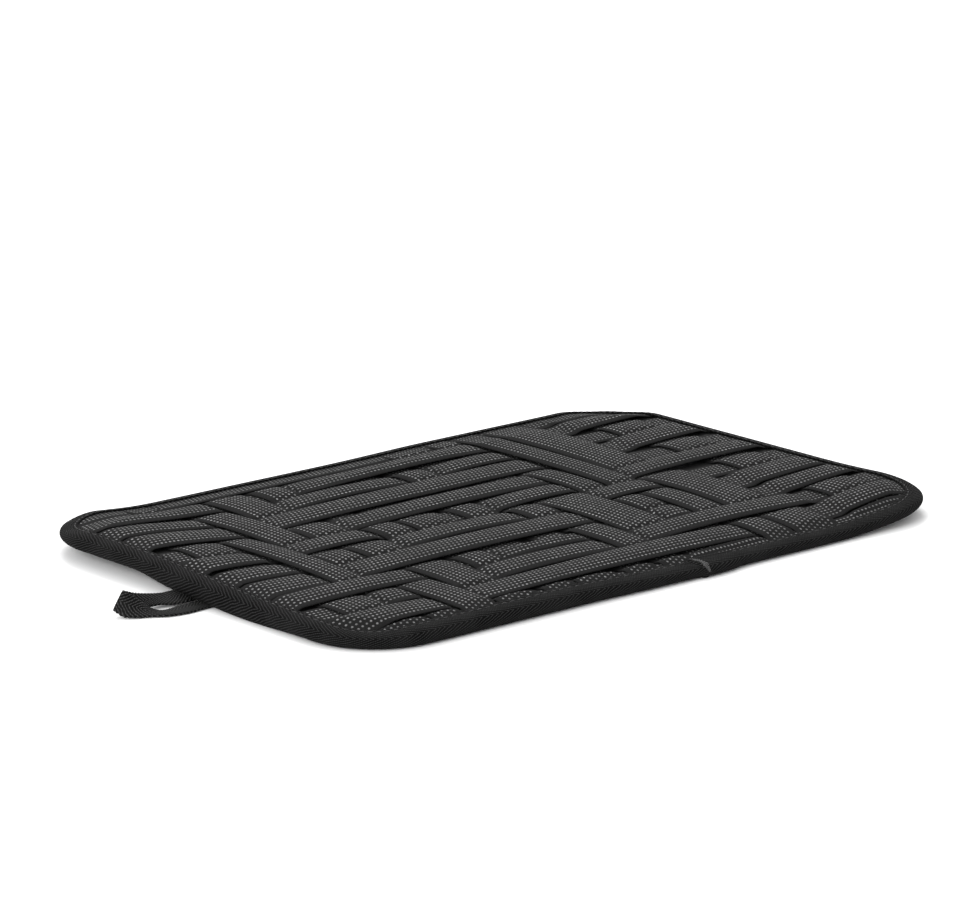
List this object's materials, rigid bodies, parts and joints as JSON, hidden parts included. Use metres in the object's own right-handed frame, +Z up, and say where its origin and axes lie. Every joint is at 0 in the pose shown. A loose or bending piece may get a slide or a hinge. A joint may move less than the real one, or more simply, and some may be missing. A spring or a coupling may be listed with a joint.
{
  "type": "cable organizer",
  "caption": "Flat rounded board woven with elastic bands that hold cables and small gear, with a bound edge, zipped rear pocket and pull loop.",
  "frame": {"origin": "on the resting surface, under the middle of the board and its pull loop together", "axes": "+X along the board's long side, away from the pull loop; +Y along its short side, from the zip's edge to the opposite edge; +Z up, out of the woven front"},
  "size_m": [0.337, 0.203, 0.0087],
  "materials": {
    "elastic": "matt woven elastic with raised silver-grey dots of rubber and plain borders",
    "binding_twill": "matt herringbone twill tape",
    "thread": "satin polyester thread",
    "loop_twill": "matt herringbone twill tape",
    "cover_fabric": "matt plain-woven polyester",
    "panel_fabric": "matt jersey over foam rubber",
    "lining_fabric": "smooth lining taffeta",
    "core_board": "embossed polyethylene sheet",
    "zip_tape": "matt ribbed tape",
    "zip_coil": "satin nylon coil",
    "zip_slider_metal": "satin black enamel, worn to grey at its edges",
    "zip_stop_metal": "satin"
  },
  "bodies": {
    "board": {"core_board": "core_board", "front_cover": "cover_fabric", "pocket_lining": "lining_fabric", "pocket_panel": "panel_fabric", "pocket_strip": "panel_fabric", "zip_tape_panel_side": "zip_tape", "zip_tape_strip_side": "zip_tape", "zip_coil_panel_side": "zip_coil", "zip_coil_strip_side": "zip_coil", "zip_top_stop": "zip_stop_metal", "zip_bottom_stop": "zip_stop_metal", "binding_tape": "binding_twill", "binding_stitching": "thread", "pull_loop_ends": "loop_twill", "long_band_1": "elastic", "long_band_2": "elastic", "long_band_3": "elastic", "long_band_4": "elastic", "long_band_5": "elastic", "long_band_6": "elastic", "long_band_7": "elastic", "long_band_8": "elastic", "long_band_9": "elastic", "long_band_10": "elastic", "long_band_11": "elastic", "long_band_12": "elastic", "cross_band_1": "elastic", "cross_band_2": "elastic", "cross_band_3": "elastic", "cross_band_4": "elastic", "cross_band_5": "elastic", "cross_band_6": "elastic", "cross_band_7": "elastic", "cross_band_8": "elastic", "cross_band_9": "elastic", "cross_band_10": "elastic", "cross_band_11": "elastic", "cross_band_12": "elastic", "cross_band_13": "elastic"},
    "slider": {"zip_slider": "zip_slider_metal"},
    "pull_tab": {"zip_pull": "zip_slider_metal"},
    "loop": {"pull_loop": "loop_twill"}
  },
  "joints": [
    {"name": "zip_slide", "type": "slide", "parent": "board", "child": "slider", "axis": [1, 0, 0], "range_m": [-0.226, 0]},
    {"name": "pull_tab_swing", "type": "hinge", "parent": "slider", "child": "pull_tab", "pos_m": [0.129, -0.0745, 0.00105], "axis": [0, -1, 0], "range_deg": [0, 160]},
    {"name": "loop_bend", "type": "hinge", "parent": "board", "child": "loop", "pos_m": [-0.1375, 0, 0.0006], "axis": [0, 1, 0], "range_deg": [-90, 90]}
  ]
}
